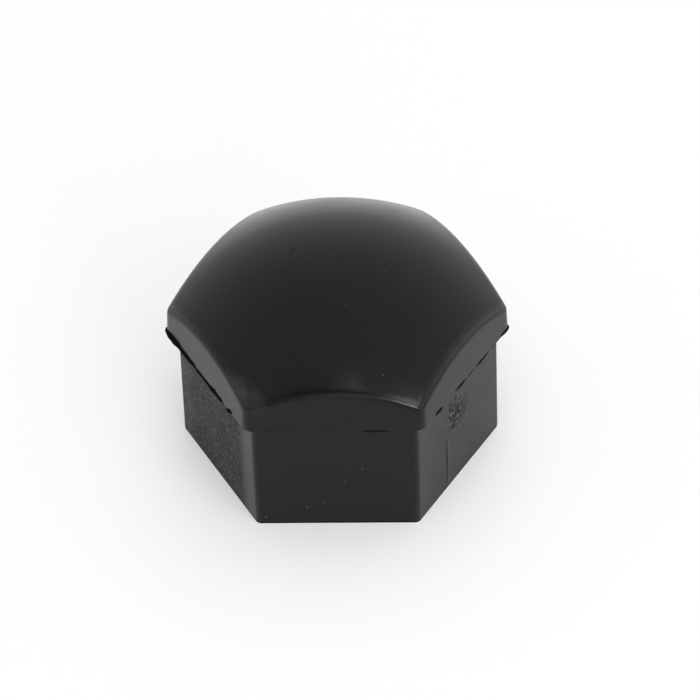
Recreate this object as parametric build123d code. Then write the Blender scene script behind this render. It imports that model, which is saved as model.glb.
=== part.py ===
"""Push-on cover cap for a hexagonal wheel nut, moulded as one piece.

Millimetres, +Z up. The origin is the middle of the open mouth, in the plane of the rim.
Two flats of the hexagon face along Y, and two of its corners lie along X.
"""
from build123d import *
from math import cos, radians, tan
import os

# Socket, which goes over the nut
NUT_FLATS = 17.0              # across flats of the nut that is covered
NUT_CLEARANCE = 0.15          # between the nut and each socket flat, at the mouth
SOCKET_CORNER_RADIUS = 0.5
CEILING_RADIUS = 0.4          # rounding between the socket's walls and its ceiling
LEAD_IN = 0.3                 # width of the bevel round the mouth that guides the nut in
LEAD_IN_ANGLE = 45.0          # degrees from that bevel to the axis
RIB_RADIUS = 0.6              # half-round grip rib down the middle of each socket flat
RIB_PROUD = 0.2               # how far a rib stands out of its flat

# Skirt, the lower wall
SKIRT_WALL = 1.35
SKIRT_HEIGHT = 9.8            # from the rim to the ledge under the head
SKIRT_CORNER_RADIUS = 0.8
RIM_BEVEL = 0.15              # bevel of the rim's outer edge
WALL_DRAFT = 0.4              # degrees by which the skirt and the socket narrow towards the crown

# Head, which stands out over the skirt and carries the crown
LEDGE_WIDTH = 0.77            # overhang of each head flat, at the ledge
HEAD_SIDE = 1.85              # height of the head's side at its corners
HEAD_DRAFT = 3.4              # degrees by which the head narrows towards the crown
HEAD_RADIUS = 0.8             # rounding of the head's corners and of the crown's edge
CROWN_RISE = 4.95             # from the head's corners to the top of the dome
CROWN_WALL = 1.6

# Gate scar, a shallow dish in one skirt flat where the moulding was cut from its runner
GATE_FLAT = -30.0             # degrees from +X to the way that flat faces
GATE_HEIGHT = 6.5             # middle of the dish above the rim
GATE_OFFSET = -0.2            # middle of the dish along the flat
GATE_WIDTH = 3.3
GATE_DEPTH = 0.12

SIDES = 6
SIDE_ANGLE = 360 / SIDES
HALF_SIDE = radians(SIDE_ANGLE / 2)

# Sizes that follow
SOCKET_FLATS = NUT_FLATS + 2 * NUT_CLEARANCE
MOUTH_FLATS = SOCKET_FLATS + 2 * SKIRT_WALL
SKIRT_TOP_FLATS = MOUTH_FLATS - 2 * SKIRT_HEIGHT * tan(radians(WALL_DRAFT))
HEAD_FLATS = SKIRT_TOP_FLATS + 2 * LEDGE_WIDTH
CORNER_HEIGHT = SKIRT_HEIGHT + HEAD_SIDE
CORNER_REACH = (HEAD_FLATS / 2 - HEAD_SIDE * tan(radians(HEAD_DRAFT))) / cos(HALF_SIDE)
CROWN_RADIUS = (CORNER_REACH**2 + CROWN_RISE**2) / (2 * CROWN_RISE)
OVERALL_HEIGHT = CORNER_HEIGHT + CROWN_RISE


def hexagon_prism(flats, bottom, height, draft):
    """Upright hexagonal prism that narrows by the draft from its bottom to its top."""
    top_flats = flats - 2 * height * tan(radians(draft))
    lower = Pos(0, 0, bottom) * RegularPolygon(flats / 2, SIDES, major_radius=False)
    upper = Pos(0, 0, bottom + height) * RegularPolygon(top_flats / 2, SIDES, major_radius=False)
    return loft([lower, upper], ruled=True)


def side_edges(solid):
    """Edges that run up the corners of a hexagonal prism."""
    level = solid.edges().filter_by(Plane.XY)
    return [edge for edge in solid.edges() if edge not in level]


def crown_ball(radius):
    """Ball about the centre of the domed crown, turned so that its seam lies underneath."""
    return Pos(0, 0, OVERALL_HEIGHT - CROWN_RADIUS) * Rot(0, 90, 0) * Sphere(radius)


def bottom_edges(solid):
    """Edges round the lowest face of a solid."""
    return solid.faces().sort_by(Axis.Z)[0].outer_wire().edges()


def make_gate_dish():
    """Ball that cuts the shallow dish of the gate scar into its flat."""
    ball_radius = (GATE_WIDTH**2 / 4 + GATE_DEPTH**2) / (2 * GATE_DEPTH)
    flat_reach = MOUTH_FLATS / 2 - GATE_HEIGHT * tan(radians(WALL_DRAFT))
    place = Pos(flat_reach - GATE_DEPTH + ball_radius, GATE_OFFSET, GATE_HEIGHT)
    return Rot(0, 0, GATE_FLAT) * place * Sphere(ball_radius)


def make_skirt():
    """Lower wall with its gate scar, as a solid that the socket is cut from later."""
    skirt = hexagon_prism(MOUTH_FLATS, 0, SKIRT_HEIGHT, WALL_DRAFT)
    skirt = fillet(side_edges(skirt), SKIRT_CORNER_RADIUS)
    return chamfer(bottom_edges(skirt), RIM_BEVEL) - make_gate_dish()


def make_head():
    """Drafted hexagon cut by the crown's ball, so that its sides end in arcs, rounded above the ledge."""
    prism = hexagon_prism(HEAD_FLATS, SKIRT_HEIGHT, OVERALL_HEIGHT, HEAD_DRAFT)
    head = prism & crown_ball(CROWN_RADIUS)
    return fillet(side_edges(head), HEAD_RADIUS)


def make_ribs():
    """Grip ribs that lie along the drafted socket flats, from the rim to above the ceiling."""
    axis_reach = SOCKET_FLATS / 2 - RIB_PROUD + RIB_RADIUS
    upright = Cylinder(RIB_RADIUS, OVERALL_HEIGHT, align=(Align.CENTER, Align.CENTER, Align.MIN))
    rib = Pos(axis_reach, 0, 0) * Rot(0, -WALL_DRAFT, 0) * upright
    return [Rot(0, 0, SIDE_ANGLE * (index + 0.5)) * rib for index in range(SIDES)]


def make_socket():
    """Space inside the cap: a hexagon with a domed ceiling, grooved by the ribs, bevelled at the mouth."""
    walls = hexagon_prism(SOCKET_FLATS, 0, OVERALL_HEIGHT, WALL_DRAFT)
    walls = fillet(side_edges(walls), SOCKET_CORNER_RADIUS)
    space = walls & crown_ball(CROWN_RADIUS - CROWN_WALL)
    ceiling = space.faces().sort_by(Axis.Z)[-1]
    space = fillet(ceiling.outer_wire().edges(), CEILING_RADIUS)
    space -= make_ribs()
    bevel_flats = SOCKET_FLATS + 2 * LEAD_IN
    bevel_height = (LEAD_IN + RIB_PROUD) / tan(radians(LEAD_IN_ANGLE))
    bevel = hexagon_prism(bevel_flats, 0, bevel_height, LEAD_IN_ANGLE)
    return space + fillet(side_edges(bevel), SOCKET_CORNER_RADIUS)


cover_cap = make_skirt() + make_head() - make_socket()

os.makedirs("parts", exist_ok=True)
export_step(cover_cap, "parts/cover_cap.step")
print(f"height {OVERALL_HEIGHT:.2f}, crown radius {CROWN_RADIUS:.2f}, head across flats {HEAD_FLATS:.2f} mm")
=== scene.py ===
"""Models and dresses a push-on cover cap for a wheel nut, and sets a pale studio round it.

Metres, +Z up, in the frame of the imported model: the cap stands on its rim, the origin is the middle of
its open mouth, two flats of the hexagon face along Y and two of its corners lie along X.
"""
from math import atan2, cos, floor, pi, radians, sin, sqrt, tan

import bmesh
import bpy
from mathutils import Matrix, Vector, noise


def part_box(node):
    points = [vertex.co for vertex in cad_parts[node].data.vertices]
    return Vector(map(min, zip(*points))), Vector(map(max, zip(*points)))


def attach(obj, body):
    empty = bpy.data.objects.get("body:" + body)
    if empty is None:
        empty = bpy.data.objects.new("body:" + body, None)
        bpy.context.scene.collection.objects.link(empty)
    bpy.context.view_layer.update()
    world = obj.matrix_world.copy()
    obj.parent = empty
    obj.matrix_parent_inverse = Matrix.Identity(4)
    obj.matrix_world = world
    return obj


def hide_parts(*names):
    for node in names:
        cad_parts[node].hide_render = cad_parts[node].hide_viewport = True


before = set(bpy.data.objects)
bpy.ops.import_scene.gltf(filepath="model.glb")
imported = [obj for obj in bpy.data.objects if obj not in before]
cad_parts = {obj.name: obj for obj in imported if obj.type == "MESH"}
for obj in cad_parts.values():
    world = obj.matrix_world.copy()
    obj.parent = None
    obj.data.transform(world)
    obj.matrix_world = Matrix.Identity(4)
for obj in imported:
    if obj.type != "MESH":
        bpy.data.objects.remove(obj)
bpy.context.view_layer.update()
CAP_LOW, CAP_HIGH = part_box("cover_cap")

bl_info = {
    "name": "Wheel nut cover cap",
    "version": (1, 0, 0),
    "blender": (4, 5, 0),
    "location": "View3D > Sidebar > Cover cap",
    "description": "Models the moulded cap, gives it its black plastic and sets a pale studio round it",
    "category": "Object",
}

MM = 0.001
SIDES = 6
SIDE_TURN = 2 * pi / SIDES
HALF_SIDE = SIDE_TURN / 2
# Finishes by index: sides and socket, crown, and a dead black that paints shade under the head and at the
# rim's foot
SIDES_AND_SOCKET, CROWN, SHADE_BLACK_FINISH = range(3)

# Turn between two faces from which their edge is shaded sharp
SHARP_TURN = radians(35)

# Rings of a dome: how far the outermost is drawn in and the radius of the innermost, in ring widths
FIRST_STEP = 0.75
POLE_RING = 0.6

# Fence round the finer mesh of the gate scar: the heights of two edge loops, half of its width along the
# flat, and the slack with which its vertices are found
FENCE_LOOPS = (4.4 * MM, 8.6 * MM)
FENCE_REACH = 2.4 * MM
FENCE_SLACK = 0.1 * MM

# Fins of flash under the head, whose dead black paints the shadow line under the head's edge: the way
# the flat faces in degrees from +X, then the fin's start and end along the flat and its width, in millimetres
FLASH = (
    (-150, -6.4, -3.1, 0.27),
    (-150, -5.2, -1.0, 0.2),
    (-150, -1.9, 1.4, 0.11),
    (-150, 0.2, 3.0, 0.16),
    (-150, 3.3, 4.1, 0.14),
    (-90, -5.3, -3.6, 0.03),
    (-90, 1.7, 4.0, 0.1),
    (-30, -4.5, -3.3, 0.11),
    (-30, -1.8, 0.1, 0.09),
    (-30, 0.0, 1.2, 0.035),
    (-30, 1.0, 3.3, 0.075),
    (-30, 3.2, 5.4, 0.03),
    (-30, 4.8, 6.35, 0.12),
)

# Steps along a fin, how far its root reaches into the head, and how high its three edges lie over the ledge
FLASH_STEPS = 24
FLASH_ROOT = 0.1 * MM
FLASH_RISES = (0.005 * MM, 0.03 * MM, 0.055 * MM)

# Soft spots in the surround, as the room in front of the cap: turn from the -Y side, height, the radius
# up to which a spot is full and the radius where it ends, in degrees, and what it multiplies by
SURROUND_SPOTS = (
    (0, 10, 28, 50, 0.5),
    (-18, 48, 8, 26, 0.4),
    (0, 8, 4, 12, 4.0),
    (9, 24, 3, 9, 2.4),
    (31, 33, 4, 9, 4.5),
    (12, 62, 4, 12, 1.3),
    (16, 66, 2, 5, 3.0),
)


def linear(hex_colour):
    """Linear red, green and blue of an sRGB colour written as #rrggbb."""
    shares = [int(hex_colour[at:at + 2], 16) / 255 for at in (1, 3, 5)]
    return [c / 12.92 if c <= 0.04045 else ((c + 0.055) / 1.055) ** 2.4 for c in shares]


def length(label, description, default):
    """Property for a length in metres."""
    return bpy.props.FloatProperty(
        name=label, description=description, default=default, unit="LENGTH", precision=5)


def angle(label, description, default):
    """Property for an angle, with its default in degrees."""
    return bpy.props.FloatProperty(
        name=label, description=description, default=radians(default), subtype="ANGLE")


def colour(label, description, default):
    """Property for a colour, with its default as an sRGB hex value."""
    return bpy.props.FloatVectorProperty(
        name=label, description=description, default=linear(default), subtype="COLOR")


def number(label, description, default):
    """Property for a plain number, such as a strength."""
    return bpy.props.FloatProperty(name=label, description=description, default=default)


class CapSizes(bpy.types.PropertyGroup):
    """Sizes of the moulded cap."""

    height: length("Height", "From the rim to the top of the dome", CAP_HIGH.z)
    head_flats: length("Head across flats", "Head measured at the ledge", CAP_HIGH.y - CAP_LOW.y)
    mouth_flats: length("Skirt across flats", "Skirt measured at the rim", 20.0 * MM)
    skirt_height: length("Skirt height", "From the rim to the ledge under the head", 9.8 * MM)
    crown_radius: length("Crown radius", "Radius of the ball that the dome is part of", 17.58 * MM)
    crown_wall: length("Crown wall", "Thickness of the dome", 1.6 * MM)
    socket_flats: length("Socket across flats", "Socket measured at the mouth", 17.3 * MM)
    lead_in: length("Lead-in", "Width of the bevel round the mouth", 0.3 * MM)
    rib_radius: length("Rib radius", "Radius of the grip rib on each socket flat", 0.6 * MM)
    rib_proud: length("Rib height", "How far a grip rib stands out of its flat", 0.2 * MM)
    rounding: length("Rounding", "Set-back of the head's rounded corners and crown edge", 0.42 * MM)
    skirt_rounding: length("Skirt rounding", "Set-back of the skirt's rounded corners", 0.3 * MM)
    socket_rounding: length("Socket rounding", "Set-back of the socket's rounded corners", 0.29 * MM)
    # The rim band is dead black: painted shade for the contact shadow that the foot of the skirt mirrors
    rim_shade_band: length("Rim band", "Height of the shade-painted band round the rim", 0.17 * MM)
    edge_bevel: length("Edge bevel", "Bevel of the head's lower edge", 0.05 * MM)
    wall_draft: angle("Wall draft", "Taper of the skirt and the socket", 0.4)
    head_draft: angle("Head draft", "Taper of the head's sides", 3.4)


class ScarSizes(bpy.types.PropertyGroup):
    """Sizes of the scar that was left where the moulding was cut from its runner."""

    facing: angle("Facing", "Way that the scarred flat faces, from +X", -30.0)
    along: length("Along the flat", "Middle of the scar from the middle of its flat", -0.2 * MM)
    height: length("Height", "Middle of the scar above the rim", 6.5 * MM)
    width: length("Dish width", "Width of the shallow dish", 3.3 * MM)
    depth: length("Dish depth", "Depth of the shallow dish", 0.1 * MM)
    torn_along: length("Torn along", "Middle of the rough patch from the middle of its flat", -0.45 * MM)
    torn_up: length("Torn up", "Middle of the rough patch above the rim", 6.6 * MM)
    torn_width: length("Torn width", "Width of the rough patch in the dish", 2.3 * MM)
    torn_height: length("Torn height", "Height of the rough patch in the dish", 3.4 * MM)
    torn_depth: length("Torn depth", "How far the rough patch is torn up and down", 0.065 * MM)


class ScratchSizes(bpy.types.PropertyGroup):
    """Place and sizes of the scratch on the dome."""

    right: length("Right", "Middle of the scratch along X", -3.03 * MM)
    back: length("Back", "Middle of the scratch along Y", 0.88 * MM)
    turn: angle("Turn", "Way that the scratch runs, from +X", 66.0)
    span: length("Span", "Length of the scratch", 1.05 * MM)
    width: length("Width", "Width of the groove", 0.14 * MM)
    depth: length("Depth", "Depth of the groove", 0.08 * MM)


class PlasticLooks(bpy.types.PropertyGroup):
    """Colours and finish of the plastic."""

    black: colour("Black", "Colour of the plastic", "#0c0c0c")
    torn_grey: colour("Torn grey", "Colour of the plastic where it is torn and stretched", "#6a6a6c")
    flash_and_shade_dark: colour("Flash dark", "Darkest colour of the ragged flash and rim", "#080808")
    flash_and_shade_pale: colour("Flash pale", "Palest colour of the ragged flash and rim", "#282828")
    dust_grey: colour("Dust grey", "Colour of the specks of dust", "#a0a0a0")
    smear_and_sheen_olive: colour("Smear and sheen olive", "Colour of the olive smear and painted sheen", "#31312d")
    roughness: number("Roughness", "Roughness of the moulded skin", 0.21)
    crown_mirror: number("Crown mirror", "Specular level of the polished crown", 0.5)
    shade_dimmed_side_mirror: number("Side mirror", "Specular level of the shade-dimmed sides and socket", 0.25)


class StudioLooks(bpy.types.PropertyGroup):
    """Camera, lamps and floor."""

    lens: number("Lens", "Focal length in millimetres on a 36 mm sensor", 205.714)
    distance: length("Distance", "From the camera to the level of the origin", 293.15 * MM)
    right: length("Right", "How far the camera stands to the right of the line to the origin", 0.656 * MM)
    up: length("Up", "How far the camera stands above the line to the origin", 5.554 * MM)
    azimuth: angle("Azimuth", "Turn of the camera round the cap, from the -Y side", 2.453)
    elevation: angle("Elevation", "Height of the camera as an angle", 43.017)
    roll: angle("Roll", "Turn of the camera about its line of sight", -2.073)
    floor_white: colour("Floor", "Colour of the floor", "#f8f8f8")
    floor_glow: number("Floor glow", "Share of the seen floor that is white whatever falls on it", 0.3)
    key_strength: number("Key", "Strength of the soft key light", 0.82)
    fill_strength: number("Fill", "Strength of the soft light from behind", 0.5)
    top_strength: number("Top", "Strength of the soft light overhead", 0.6)
    sky_top: number("Sky top", "Brightness of the surround overhead", 0.36)
    sky_rim: number("Sky rim", "Brightness that the surround gains at the horizon", 0.4)
    glint_power: number("Glint", "Power in watts of the low lamp beside the camera", 0.24)
    panel_power: number("Panel", "Power in watts of the lamp above it", 0.29)


def at_corner(vert):
    """Whether a vertex lies on one of the six radial planes through the hexagon's corners."""
    turns = atan2(vert.co.y, vert.co.x) / SIDE_TURN
    return abs(turns - round(turns)) < 1e-4


def corner_edges(shell):
    """Edges that lie along the hexagon's corners."""
    return [edge for edge in shell.edges if all(at_corner(vert) for vert in edge.verts)]


def hexagon_loop(shell, flats, height, divisions):
    """Add a level hexagon of edges with two corners along X, each side in equal divisions."""
    place = Matrix.Translation((0, 0, height)) @ Matrix.Rotation(HALF_SIDE, 4, "Z")
    reach = flats / 2 / cos(HALF_SIDE)
    bmesh.ops.create_circle(shell, segments=SIDES, radius=reach, matrix=place)
    sides = [edge for edge in shell.edges if edge.is_wire]
    bmesh.ops.subdivide_edges(shell, edges=sides, cuts=divisions - 1)
    return [edge for edge in shell.edges if edge.is_wire]


def draw_loop(shell, loop):
    """Extrude a loop of edges in place, and return the new loop's edges and vertices."""
    made = bmesh.ops.extrude_edge_only(shell, edges=loop)["geom"]
    verts = {item for item in made if isinstance(item, bmesh.types.BMVert)}
    edges = [item for item in made if isinstance(item, bmesh.types.BMEdge) and verts.issuperset(item.verts)]
    return edges, list(verts)


def draw_level(shell, loop, flats, height):
    """Draw a level loop to a new size across flats and a new height."""
    edges, verts = draw_loop(shell, loop)
    old_flats = 2 * cos(HALF_SIDE) * max(vert.co.xy.length for vert in verts)
    widen = flats / old_flats
    bmesh.ops.scale(shell, vec=(widen, widen, 1), verts=verts)
    bmesh.ops.translate(shell, vec=(0, 0, height - verts[0].co.z), verts=verts)
    return edges


def ball_height(vert, top, radius):
    """Height of the ball with this top and radius, over a vertex."""
    return top - radius + sqrt(radius ** 2 - vert.co.x ** 2 - vert.co.y ** 2)


def draw_to_ball(shell, loop, draft, top, radius):
    """Draw a level loop up drafted sides until each vertex meets the ball, in a few rounds that settle."""
    edges, verts = draw_loop(shell, loop)
    half_flats = cos(HALF_SIDE) * max(vert.co.xy.length for vert in verts)
    for vert in verts:
        foot = vert.co.copy()
        for _ in range(5):
            rise = ball_height(vert, top, radius) - foot.z
            vert.co.xy = foot.xy * (1 - rise * tan(draft) / half_flats)
        vert.co.z = foot.z + rise
    return edges


def close_dome(shell, loop, rings, top, radius):
    """Close a loop that lies on a ball with narrowing rings and a pole."""
    for ring in range(rings, 0, -1):
        loop, verts = draw_loop(shell, loop)
        narrow = (ring + POLE_RING - 1) / (ring + POLE_RING) if ring < rings else 1 - FIRST_STEP / rings
        bmesh.ops.scale(shell, vec=(narrow, narrow, 1), verts=verts)
        for vert in verts:
            vert.co.z = ball_height(vert, top, radius)
    bmesh.ops.pointmerge(shell, verts=verts, merge_co=(0, 0, top))


def round_edges(shell, edges, set_back, segments):
    """Round edges by a bevel with this set-back."""
    bmesh.ops.bevel(
        shell, geom=edges, offset=set_back, offset_type="OFFSET", segments=segments, profile=0.5,
        affect="EDGES", material=-1, clamp_overlap=False, loop_slide=True)


def tighten_skirt(shell, sizes):
    """Draw the rounding of the skirt's corners towards the sharp corner, as it is tighter than the head's."""
    tighter = sizes.skirt_rounding / sizes.rounding
    near = 1.05 * sizes.rounding
    for vert in shell.verts:
        if vert.co.z < sizes.skirt_height + sizes.edge_bevel / 2:
            turn = round(atan2(vert.co.y, vert.co.x) / SIDE_TURN) * SIDE_TURN
            reach = (sizes.mouth_flats / 2 - vert.co.z * tan(sizes.wall_draft)) / cos(HALF_SIDE)
            corner = Vector((reach * cos(turn), reach * sin(turn), vert.co.z))
            if (vert.co - corner).length < near:
                vert.co = corner.lerp(vert.co, tighter)


def model_outside(shell, sizes):
    """Skirt, ledge, head and dome as one open shell, with rounded corners and crown."""
    slope = 2 * tan(sizes.wall_draft)
    bevel = sizes.edge_bevel
    loop = hexagon_loop(shell, sizes.mouth_flats - sizes.rim_shade_band / 2, 0, divisions=16)
    for height in (sizes.rim_shade_band, *FENCE_LOOPS, sizes.skirt_height):
        loop = draw_level(shell, loop, sizes.mouth_flats - slope * height, height)
    loop = draw_level(shell, loop, sizes.head_flats - 2 * bevel, sizes.skirt_height)
    loop = draw_level(shell, loop, sizes.head_flats, sizes.skirt_height + bevel)
    crown = draw_to_ball(shell, loop, sizes.head_draft, sizes.height, sizes.crown_radius)
    corners = corner_edges(shell)
    close_dome(shell, crown, rings=14, top=sizes.height, radius=sizes.crown_radius)
    round_edges(shell, corners + crown, sizes.rounding, segments=6)
    tighten_skirt(shell, sizes)


def raise_rib(vert, sizes):
    """Move a vertex of the socket's wall inwards where a half-round grip rib stands on it."""
    facing = (floor(atan2(vert.co.y, vert.co.x) / SIDE_TURN) + 0.5) * SIDE_TURN
    outward = Vector((cos(facing), sin(facing), 0))
    off_middle = abs(vert.co.x * outward.y - vert.co.y * outward.x)
    if off_middle < sizes.rib_radius:
        proud = sqrt(sizes.rib_radius ** 2 - off_middle ** 2) - sizes.rib_radius + sizes.rib_proud
        vert.co -= outward * max(0, proud)


def model_inside(shell, sizes):
    """Socket as an open shell: bevelled mouth, drafted walls with a grip rib each, domed ceiling."""
    slope = 2 * tan(sizes.wall_draft)
    top = sizes.height - sizes.crown_wall
    radius = sizes.crown_radius - sizes.crown_wall
    loop = hexagon_loop(shell, sizes.socket_flats + 2 * sizes.lead_in, 0, divisions=12)

    # The loop is finer within a millimetre of the middle of each side, where its rib stands
    rib_end = Vector((sizes.socket_flats / 2 + sizes.lead_in, MM)).length
    middles = [edge for edge in loop if all(vert.co.xy.length < rib_end for vert in edge.verts)]
    bmesh.ops.subdivide_edges(shell, edges=middles, cuts=7)
    loop = [edge for edge in shell.edges if edge.is_wire]

    loop = draw_level(shell, loop, sizes.socket_flats, sizes.lead_in)
    rib_start = sizes.lead_in + sizes.rib_proud
    loop = draw_level(shell, loop, sizes.socket_flats - slope * sizes.lead_in, rib_start)
    for vert in {vert for edge in loop for vert in edge.verts}:
        raise_rib(vert, sizes)
    ceiling = draw_to_ball(shell, loop, sizes.wall_draft, top, radius)
    corners = corner_edges(shell)
    close_dome(shell, ceiling, rings=8, top=top, radius=radius)
    round_edges(shell, corners, sizes.socket_rounding, segments=4)


def model_scar(shell, sizes, scar):
    """Divide one skirt flat round the gate, dish it and tear the middle of the dish."""
    outward = Vector((cos(scar.facing), sin(scar.facing), 0))
    across = Vector((-sin(scar.facing), cos(scar.facing), 0))
    lowest = FENCE_LOOPS[0] - FENCE_SLACK
    highest = FENCE_LOOPS[1] + FENCE_SLACK

    def fenced(vert):
        """Whether a vertex lies on the scarred flat, inside the fence."""
        on_flat = abs(vert.co.dot(outward) - sizes.mouth_flats / 2) < 2 * FENCE_SLACK
        return on_flat and abs(vert.co.dot(across)) < FENCE_REACH and lowest < vert.co.z < highest

    def fenced_edges():
        """Edges of the faces inside the fence."""
        faces = [face for face in shell.faces if all(fenced(vert) for vert in face.verts)]
        return list({edge for face in faces for edge in face.edges})

    upright = [edge for edge in fenced_edges() if abs(edge.verts[0].co.z - edge.verts[1].co.z) > MM]
    bmesh.ops.subdivide_edges(shell, edges=upright, cuts=4, use_grid_fill=True)
    bmesh.ops.subdivide_edges(shell, edges=fenced_edges(), cuts=10, use_grid_fill=True)

    # The dish fades out at its edge; the torn patch has a wandering edge and a fine ragged relief
    for vert in [vert for vert in shell.verts if fenced(vert)]:
        along = (vert.co.dot(across) - scar.along) * 2 / scar.width
        up = (vert.co.z - scar.height) * 2 / scar.width
        dish = max(0, 1 - along ** 2 - up ** 2) ** 1.5
        torn_along = (vert.co.dot(across) - scar.torn_along) * 2 / scar.torn_width
        torn_up = (vert.co.z - scar.torn_up) * 2 / scar.torn_height
        wander = 0.5 * noise.noise(vert.co / (0.7 * MM))
        tear = max(0, 1 - torn_along ** 2 - torn_up ** 2 + wander)
        ragged = noise.fractal(vert.co / (0.3 * MM), 0.6, 2.2, 4)
        vert.co -= outward * (scar.depth * dish + scar.torn_depth * ragged * min(1, 3 * tear))


def model_scratch(shell, sizes, scratch):
    """Divide the dome round one scratch and press a groove with a V section into it."""
    place = Matrix.Translation((scratch.right, scratch.back, 0)) @ Matrix.Rotation(scratch.turn, 4, "Z")
    to_scratch = place.inverted()
    lowest = sizes.height - MM

    def edges_round(half_span, half_width):
        """Edges of the crown's faces that reach into a rectangle about the scratch."""
        found = set()
        for face in shell.faces:
            if face.normal.z > 0.9 and face.calc_center_median().z > lowest:
                spots = [to_scratch @ vert.co for vert in face.verts]
                if any(abs(spot.x) < half_span and abs(spot.y) < half_width for spot in spots):
                    found.update(face.edges)
        return list(found)

    wide = edges_round(half_span=1.2 * MM, half_width=0.9 * MM)
    wide = [edge for edge in wide if edge.calc_length() > 0.4 * MM]
    bmesh.ops.subdivide_edges(shell, edges=wide, cuts=3, use_grid_fill=True)
    close = edges_round(half_span=0.7 * MM, half_width=0.15 * MM)
    bmesh.ops.subdivide_edges(shell, edges=close, cuts=10, use_grid_fill=True)
    for vert in shell.verts:
        if vert.co.z > lowest:
            spot = to_scratch @ vert.co
            taper = max(0, 1 - (2 * spot.x / scratch.span) ** 2)
            groove = max(0, taper - abs(2 * spot.y / scratch.width))
            vert.co.z -= scratch.depth * groove


def head_edge(sizes, facing, along):
    """Place on the head's lower edge and the way out of it: along one flat, then round the flat's corner."""
    radius = sizes.rounding / tan(HALF_SIDE)
    reach = sizes.head_flats / 2 - radius
    straight = reach * tan(HALF_SIDE)
    on_flat = max(-straight, min(straight, along))
    turn = facing + (along - on_flat) / radius
    outward = Vector((cos(turn), sin(turn), 0))
    middle = Matrix.Rotation(facing, 3, "Z") @ Vector((reach, on_flat, 0))
    return middle + outward * radius, outward


def model_flash(shell, sizes, facing, start, end, width):
    """Thin ragged fin that squeezed out between the mould halves, on part of the head's lower edge; it is
    dead black, painted shade for the shadow line under the head.
    """
    verts = [shell.verts.new((0, 0, sizes.skirt_height + rise)) for rise in FLASH_RISES]
    loop = [shell.edges.new((verts[at], verts[at - 1])) for at in range(len(verts))]
    for step in range(FLASH_STEPS + 1):
        share = step / FLASH_STEPS
        edge, outward = head_edge(sizes, facing, start + (end - start) * share)
        ragged = 0.9 + 0.3 * noise.noise(edge / (0.6 * MM))
        swell = sqrt(sin(pi * share))
        root = edge - outward * FLASH_ROOT
        tip = edge + outward * ((FLASH_ROOT / 2 + width * ragged) * swell - FLASH_ROOT / 2)
        if step:
            loop, verts = draw_loop(shell, loop)
        for vert, spot in zip(sorted(verts, key=lambda vert: vert.co.z), (root, tip, root)):
            vert.co.xy = spot.xy
        if step in (0, FLASH_STEPS):
            bmesh.ops.edgeloop_fill(shell, edges=loop)


def join(shell, other):
    """Add a second bmesh to a shell."""
    mesh = bpy.data.meshes.new("joined")
    other.to_mesh(mesh)
    other.free()
    shell.from_mesh(mesh)
    bpy.data.meshes.remove(mesh)


def finish_of(face, sizes):
    """Finish of one face; the polished crown's full mirror ends on its rounded edge, further up on the -X
    side, where the sides' dimmer mirror paints shade on the left arc.
    """
    middle = face.calc_center_median()
    full_mirror_end = 0.45 + 0.2 * max(0, -face.normal.x)
    if middle.z > sizes.skirt_height and face.normal.z > full_mirror_end:
        return CROWN
    faces_out = face.normal.dot(middle) > MM
    # The dead black band round the foot of the rim is painted shade for the contact shadow there
    if middle.z < sizes.rim_shade_band and faces_out:
        return SHADE_BLACK_FINISH
    return SIDES_AND_SOCKET


def model_cap(sizes, scar, scratch):
    """The whole moulding with its wear, each face with its finish."""
    shell = bmesh.new()
    model_outside(shell, sizes)
    socket = bmesh.new()
    model_inside(socket, sizes)
    join(shell, socket)
    bmesh.ops.remove_doubles(shell, verts=shell.verts, dist=0.001 * MM)
    rim = [edge for edge in shell.edges if edge.is_boundary]
    bmesh.ops.triangle_fill(shell, edges=rim, use_beauty=True, normal=(0, 0, -1))
    bmesh.ops.recalc_face_normals(shell, faces=shell.faces)
    model_scar(shell, sizes, scar)
    model_scratch(shell, sizes, scratch)
    shell.normal_update()
    for face in shell.faces:
        face.material_index = finish_of(face, sizes)

    flash = bmesh.new()
    for facing, start, end, width in FLASH:
        model_flash(flash, sizes, radians(facing), start * MM, end * MM, width * MM)
    # The fins take the dead black that paints the shadow line under the head
    for face in flash.faces:
        face.material_index = SHADE_BLACK_FINISH
    join(shell, flash)
    bmesh.ops.recalc_face_normals(shell, faces=shell.faces)
    for edge in shell.edges:
        edge.smooth = edge.calc_face_angle() < SHARP_TURN
    return shell


def new_piece(name, shell, materials):
    """Object that holds a finished bmesh, at the origin and shaded smooth."""
    mesh = bpy.data.meshes.new(name)
    shell.to_mesh(mesh)
    shell.free()
    for material in materials:
        mesh.materials.append(material)
    mesh.shade_smooth()
    piece = bpy.data.objects.new(name, mesh)
    bpy.context.scene.collection.objects.link(piece)
    return piece


def add_node(tree, kind, inputs=(), **settings):
    """Add a shader node with its settings, and set or link its inputs.

    Inputs come as a list in their order, or under their names or numbers. Each takes a plain value, a
    socket, or a node, which gives the first of its outputs that is in use.
    """
    node = tree.nodes.new("ShaderNode" + kind)
    for name, value in settings.items():
        setattr(node, name, value)
    named = inputs if isinstance(inputs, dict) else dict(enumerate(inputs))
    for name, value in named.items():
        if isinstance(value, bpy.types.Node):
            value = next(socket for socket in value.outputs if socket.enabled)
        if isinstance(value, bpy.types.NodeSocket):
            tree.links.new(value, node.inputs[name])
        else:
            node.inputs[name].default_value = value
    return node


def new_material(name):
    """Material with an empty node tree, and that tree."""
    material = bpy.data.materials.new(name)
    material.use_nodes = True
    material.node_tree.nodes.clear()
    return material, material.node_tree


def patch(tree, place, middle, turn, half_sizes, core):
    """Mask that is one in the core of an ellipsoid, turned about +Z, and fades out towards its edge."""
    local = add_node(tree, "Mapping", {
        "Vector": place, "Location": middle, "Rotation": (0, 0, turn), "Scale": half_sizes,
    }, vector_type="TEXTURE")
    off_middle = add_node(tree, "VectorMath", [local], operation="LENGTH")
    return add_node(tree, "MapRange", [off_middle, core, 1.0, 1.0, 0.0])


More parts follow.
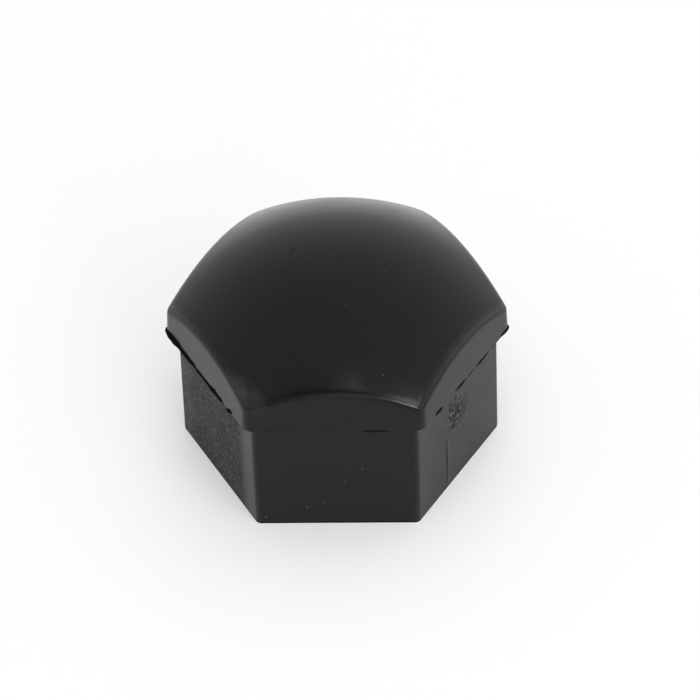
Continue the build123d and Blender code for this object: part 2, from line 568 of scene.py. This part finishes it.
def drag_marks(tree, place, part, skirt):
    """Mask of the dulled skirt, and the marks in it, which run along the way the cap leaves the mould.

    The mask keeps away from the corners, most of all at the front, and is strongest on the -X side.
    """
    stretched = add_node(tree, "Mapping", {"Vector": place, "Scale": (1, 1, 0.6)})
    marks = add_node(tree, "TexNoise", {
        "Vector": stretched, "Scale": 1 / (0.17 * MM), "Detail": 4.0, "Roughness": 0.7})
    turn = add_node(tree, "Math", [part["Y"], part["X"]], operation="ARCTAN2")
    past_corner = add_node(tree, "Math", [turn, HALF_SIDE, -HALF_SIDE], operation="WRAP")
    off_corner = add_node(tree, "Math", [past_corner], operation="ABSOLUTE")
    past_middle = add_node(tree, "Math", [off_corner, HALF_SIDE], operation="SUBTRACT")
    off_middle = add_node(tree, "Math", [past_middle], operation="ABSOLUTE")
    border = add_node(tree, "MapRange", [off_middle, 0.62 * HALF_SIDE, 0.8 * HALF_SIDE])
    front = add_node(tree, "MapRange", [part["Y"], -7 * MM, -3 * MM, 1.0, 0.3])
    spared = add_node(tree, "Math", [border, front], operation="MULTIPLY")
    inner = add_node(tree, "Math", [1.0, spared], operation="SUBTRACT")
    inner = add_node(tree, "Math", [inner, skirt], operation="MULTIPLY")
    side = add_node(tree, "MapRange", [part["X"], -7 * MM, -3 * MM, 1.0, 0.25])
    dull = add_node(tree, "Math", [inner, side], operation="MULTIPLY")
    return dull, marks


def skirt_place(sizes, facing, along, height):
    """Place on a skirt flat, by the way the flat faces, the way along it and the height."""
    reach = sizes.mouth_flats / 2 - height * tan(sizes.wall_draft)
    return Matrix.Rotation(facing, 3, "Z") @ Vector((reach, along, height))


def torn_gate(tree, place, sizes, scar):
    """Mask of the torn plastic in the gate scar, and of its crests, which are stretched and paler."""
    middle = skirt_place(sizes, scar.facing, scar.torn_along, scar.torn_up)
    torn = patch(tree, place, middle, scar.facing, (MM, scar.torn_width / 2, scar.torn_height / 2), 0.75)
    ragged = add_node(tree, "TexNoise", {"Vector": place, "Scale": 1 / (0.28 * MM), "Detail": 3.0})
    high = add_node(tree, "MapRange", [ragged, 0.5, 0.7])
    crests = add_node(tree, "Math", [torn, high], operation="MULTIPLY")
    return torn, crests


def mould_marks(tree, place, sizes, scar):
    """Masks of a thin raised line and of a pit that the mould left below the gate."""
    middle = skirt_place(sizes, scar.facing, -1.56 * MM, 2.4 * MM)
    line = patch(tree, place, middle, scar.facing, (0.4 * MM, 0.3 * MM, 2.6 * MM), 0.1)
    middle = skirt_place(sizes, scar.facing, -1.88 * MM, 1.74 * MM)
    pit = patch(tree, place, middle, scar.facing, (0.4 * MM, 0.15 * MM, 0.15 * MM), 0.1)
    return line, pit


def dust(tree, place, skirt):
    """Mask of specks: the few points of a scatter that come to lie on the surface, most on the skirt."""
    scatter = add_node(tree, "TexVoronoi", {"Vector": place, "Scale": 1 / MM}).outputs
    speck = add_node(tree, "MapRange", [scatter["Distance"], 0.02, 0.07, 1.0, 0.0])
    weight = add_node(tree, "Math", [scatter["Color"], 3.0], operation="POWER")
    weight = add_node(tree, "Math", [weight, 0.9, 0.04], operation="MULTIPLY_ADD")
    share = add_node(tree, "Math", [skirt, 0.5, 0.5], operation="MULTIPLY_ADD")
    weight = add_node(tree, "Math", [weight, share], operation="MULTIPLY")
    return add_node(tree, "Math", [speck, weight], operation="MULTIPLY")


def olive_smear_and_painted_sheen(tree, place):
    """Mask of a streaky olive smear beside the dome's front left corner, and of a thin painted sheen along
    its right arc, the reflection that the rounded edge shows there.
    """
    middle = (-6.3 * MM, -9.45 * MM, 12.6 * MM)
    smear = patch(tree, place, middle, radians(-136), (0.9 * MM, 2.8 * MM, 2.0 * MM), 0.2)
    # Painted sheen: a pale olive band that stands for the reflection on the rounded edge of the right arc
    middle = (8.88 * MM, -5.13 * MM, 13.2 * MM)
    painted_sheen = patch(tree, place, middle, radians(-30), (0.4 * MM, 5.0 * MM, 3.0 * MM), 0.3)
    smudge = add_node(tree, "Math", [painted_sheen, 0.4, smear], operation="MULTIPLY_ADD")
    streaks = add_node(tree, "TexNoise", {"Vector": place, "Scale": 1 / (0.8 * MM), "Detail": 3.0})
    cover = add_node(tree, "MapRange", [streaks, 0.3, 0.65, 0.25, 1.0])
    return add_node(tree, "Math", [smudge, cover], operation="MULTIPLY")


def black_moulded_plastic(name, mirror, looks, sizes, scar):
    """Carbon-black plastic from a steel mould.

    The eye sees almost no colour, only a satin skin that mirrors pale surroundings at a low angle. The
    skirt is duller and drag-marked where it slid out of the mould, the gate is torn, and the surface
    carries a few specks of dust, a streaky olive smear beside the crown's front left corner and a painted
    olive sheen along its right arc.
    """
    material, tree = new_material(name)
    place = add_node(tree, "TexCoord").outputs["Object"]
    part = add_node(tree, "SeparateXYZ", [place]).outputs
    skirt = add_node(tree, "MapRange", [
        part["Z"], sizes.skirt_height - 0.1 * MM, sizes.skirt_height, 1.0, 0.0])
    dull, drag = drag_marks(tree, place, part, skirt)
    torn, crests = torn_gate(tree, place, sizes, scar)
    line, pit = mould_marks(tree, place, sizes, scar)
    smear_and_sheen = olive_smear_and_painted_sheen(tree, place)
    specks = dust(tree, place, skirt)

    # Inputs 6 and 7 of a Mix node are its two colours
    shade = (*looks.black, 1)
    # The first layer is the olive smear and the painted sheen on the crown's right arc
    for mask, tint in ((smear_and_sheen, looks.smear_and_sheen_olive), (crests, looks.torn_grey), (specks, looks.dust_grey)):
        shade = add_node(tree, "Mix", {0: mask, 6: shade, 7: (*tint, 1)}, data_type="RGBA")

    cloud = add_node(tree, "TexNoise", {"Vector": place, "Scale": 1 / (2.5 * MM), "Detail": 3.0})
    rough = add_node(tree, "MapRange", [cloud, 0.3, 0.7, looks.roughness - 0.03, looks.roughness + 0.03])
    drag_rough = add_node(tree, "MapRange", [drag, 0.35, 0.65, 0.06, 0.44])
    for mask, gain in ((skirt, 0.08), (dull, drag_rough), (torn, 0.15), (line, 0.12)):
        rough = add_node(tree, "Math", [mask, gain, rough], operation="MULTIPLY_ADD")

    height = add_node(tree, "TexNoise", {"Vector": place, "Scale": 1 / (0.15 * MM), "Detail": 2.0})
    dragged = add_node(tree, "Math", [dull, drag], operation="MULTIPLY")
    raised = add_node(tree, "Math", [line, pit], operation="SUBTRACT")
    for relief, gain in ((dragged, 4.5), (raised, 50.0)):
        height = add_node(tree, "Math", [relief, gain, height], operation="MULTIPLY_ADD")
    bump = add_node(tree, "Bump", {"Height": height, "Strength": 0.25, "Distance": 0.01 * MM})

    skin = add_node(tree, "BsdfPrincipled", {
        "Base Color": shade, "Roughness": rough, "Normal": bump, "IOR": 1.5, "Specular IOR Level": mirror})
    add_node(tree, "OutputMaterial", {"Surface": skin})
    return material


def dead_black_flash_and_shade(looks):
    """Ragged dead black of the fins of flash under the head and of the band round the rim's foot.

    It mirrors nothing, so the eye sees a dead black: painted shade for the shadow line under the
    head's edge and for the contact shadow along the rim.
    """
    material, tree = new_material("dead_black_flash_and_shade")
    place = add_node(tree, "TexCoord").outputs["Object"]
    ragged = add_node(tree, "TexNoise", {"Vector": place, "Scale": 1 / (0.2 * MM), "Detail": 3.0})
    shade = add_node(tree, "Mix", {
        0: ragged, 6: (*looks.flash_and_shade_dark, 1), 7: (*looks.flash_and_shade_pale, 1)}, data_type="RGBA")
    skin = add_node(tree, "BsdfPrincipled", {
        "Base Color": shade, "Roughness": 1.0, "Specular IOR Level": 0.0})
    add_node(tree, "OutputMaterial", {"Surface": skin})
    return material


class MESH_OT_cover_cap(bpy.types.Operator):
    """Model the moulded cap and give it its plastic"""

    bl_idname = "mesh.cover_cap"
    bl_label = "Cover cap"

    def execute(self, context):
        sizes = context.scene.cap_sizes
        scar = context.scene.scar_sizes
        looks = context.scene.plastic_looks
        shell = model_cap(sizes, scar, context.scene.scratch_sizes)
        # The sides and socket are a copy of the crown's plastic that mirrors half as strongly: painted shade
        # for the darker floor that they mirror
        sides = black_moulded_plastic("black_moulded_plastic", looks.shade_dimmed_side_mirror, looks, sizes, scar)
        crown = black_moulded_plastic("polished_black_plastic", looks.crown_mirror, looks, sizes, scar)
        cap = new_piece("cap", shell, [sides, crown, dead_black_flash_and_shade(looks)])
        cap.modifiers.new("flat faces", "WEIGHTED_NORMAL").keep_sharp = True
        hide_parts("cover_cap")
        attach(cap, "root")
        return {"FINISHED"}


def matt_white_floor(looks):
    """Matt white board, part of which is white whatever falls on it where it is seen or mirrored.

    The eye sees an even white ground on which the cap keeps a faint soft shadow.
    """
    material, tree = new_material("matt_white_floor")
    board = add_node(tree, "BsdfPrincipled", {
        "Base Color": (*looks.floor_white, 1), "Roughness": 1.0, "Specular IOR Level": 0.0})
    ray = add_node(tree, "LightPath").outputs
    mirrored = add_node(tree, "Math", [ray["Is Glossy Ray"], ray["Is Transmission Ray"]], operation="MAXIMUM")
    seen = add_node(tree, "Math", [ray["Is Camera Ray"], mirrored], operation="MAXIMUM")
    share = add_node(tree, "Math", [seen, looks.floor_glow], operation="MULTIPLY")
    white = add_node(tree, "Emission", {"Color": (1, 1, 1, 1), "Strength": 1.0})
    blend = add_node(tree, "MixShader", [share, board, white])
    add_node(tree, "OutputMaterial", {"Surface": blend})
    return material


def add_floor(looks):
    """Wide floor under the cap."""
    shape = bmesh.new()
    bmesh.ops.create_grid(shape, x_segments=1, y_segments=1, size=3.0)
    new_piece("floor", shape, [matt_white_floor(looks)])


def add_camera(looks):
    """Camera that looks down on the cap from the front."""
    data = bpy.data.cameras.new("camera")
    data.lens = looks.lens
    data.sensor_width = 36.0
    data.clip_start = 0.01
    camera = bpy.data.objects.new("camera", data)
    turn = Matrix.Rotation(looks.azimuth, 4, "Z") @ Matrix.Rotation(pi / 2 - looks.elevation, 4, "X")
    turn = turn @ Matrix.Rotation(looks.roll, 4, "Z")
    camera.matrix_world = turn @ Matrix.Translation((looks.right, looks.up, looks.distance))
    bpy.context.scene.collection.objects.link(camera)
    bpy.context.scene.camera = camera


def add_surround(looks):
    """Studio surround: pale at the horizon and dim overhead, with the dark and pale spots of a room."""
    world = bpy.data.worlds.new("surround")
    world.use_nodes = True
    tree = world.node_tree
    tree.nodes.clear()
    way = add_node(tree, "TexCoord").outputs["Generated"]
    part = add_node(tree, "SeparateXYZ", [way]).outputs
    low = add_node(tree, "Math", [1.0, part["Z"]], operation="SUBTRACT")
    low = add_node(tree, "Math", [low, 1.4], operation="POWER")
    glow = add_node(tree, "Math", [low, looks.sky_rim, looks.sky_top], operation="MULTIPLY_ADD")
    side = add_node(tree, "MapRange", [part["X"], -1.0, 1.0, 0.84, 1.16])
    level = add_node(tree, "Math", [glow, side], operation="MULTIPLY")
    for spot in SURROUND_SPOTS:
        azimuth, elevation, full, end = [radians(degrees) for degrees in spot[:4]]
        middle = Matrix.Rotation(azimuth, 3, "Z") @ Vector((0, -cos(elevation), sin(elevation)))
        nearness = add_node(tree, "VectorMath", [way, middle], operation="DOT_PRODUCT")
        gain = add_node(tree, "MapRange", [
            nearness, cos(end), cos(full), 1.0, spot[4]], interpolation_type="SMOOTHSTEP")
        level = add_node(tree, "Math", [level, gain], operation="MULTIPLY")
    back = add_node(tree, "Background", {"Color": (1, 1, 1, 1), "Strength": level})
    add_node(tree, "OutputWorld", {"Surface": back})
    bpy.context.scene.world = world


def add_lamp(name, kind, azimuth, elevation, distance, energy):
    """Lamp that shines at the cap, by its turn from the -Y side and its height, both in degrees."""
    data = bpy.data.lights.new(name, kind)
    data.energy = energy
    lamp = bpy.data.objects.new(name, data)
    turn = Matrix.Rotation(radians(azimuth), 4, "Z") @ Matrix.Rotation(radians(90 - elevation), 4, "X")
    lamp.matrix_world = turn @ Matrix.Translation((0, 0, distance))
    bpy.context.scene.collection.objects.link(lamp)
    return lamp


def add_lamps(looks):
    """Three wide soft lights that aren't mirrored, and two lamps that the crown's edge mirrors."""
    for name, azimuth, elevation, strength in (
            ("key", 8, 63, looks.key_strength),
            ("fill", 170, 63, looks.fill_strength),
            ("top", 0, 90, looks.top_strength)):
        lamp = add_lamp(name, "SUN", azimuth, elevation, 1.0, strength)
        lamp.data.angle = radians(50)
        lamp.visible_glossy = False
    for name, azimuth, elevation, distance, width, height, power in (
            ("glint", 26, 19, 0.5, 0.12, 0.1, looks.glint_power),
            ("panel", 47, 38, 0.6, 0.19, 0.24, looks.panel_power)):
        lamp = add_lamp(name, "AREA", azimuth, elevation, distance, power)
        lamp.data.shape = "RECTANGLE"
        lamp.data.size = width
        lamp.data.size_y = height


class SCENE_OT_cap_studio(bpy.types.Operator):
    """Set a pale floor, soft lamps and the camera round the cap"""

    bl_idname = "scene.cap_studio"
    bl_label = "Studio"

    def execute(self, context):
        looks = context.scene.studio_looks
        context.scene.view_settings.view_transform = "Standard"
        add_floor(looks)
        add_camera(looks)
        add_surround(looks)
        add_lamps(looks)
        return {"FINISHED"}


class VIEW3D_PT_cover_cap(bpy.types.Panel):
    """Lists the cap's sizes and the operators that make it"""

    bl_label = "Cover cap"
    bl_space_type = "VIEW_3D"
    bl_region_type = "UI"
    bl_category = "Cover cap"

    def draw(self, context):
        for operator in (MESH_OT_cover_cap, SCENE_OT_cap_studio):
            self.layout.operator(operator.bl_idname)
        for name, group in GROUPS.items():
            for size in group.__annotations__:
                self.layout.prop(getattr(context.scene, name), size)


GROUPS = {
    "cap_sizes": CapSizes,
    "scar_sizes": ScarSizes,
    "scratch_sizes": ScratchSizes,
    "plastic_looks": PlasticLooks,
    "studio_looks": StudioLooks,
}
CLASSES = (*GROUPS.values(), MESH_OT_cover_cap, SCENE_OT_cap_studio, VIEW3D_PT_cover_cap)


def register():
    """Add the classes, and the groups of sizes and looks to each scene."""
    for item in CLASSES:
        bpy.utils.register_class(item)
    for name, group in GROUPS.items():
        setattr(bpy.types.Scene, name, bpy.props.PointerProperty(type=group))


def unregister():
    """Take away what register added."""
    for name in GROUPS:
        delattr(bpy.types.Scene, name)
    for item in reversed(CLASSES):
        bpy.utils.unregister_class(item)


def main():
    """Build the cap and the studio."""
    register()
    bpy.ops.mesh.cover_cap()
    bpy.ops.scene.cap_studio()


if __name__ == "__main__":
    main()
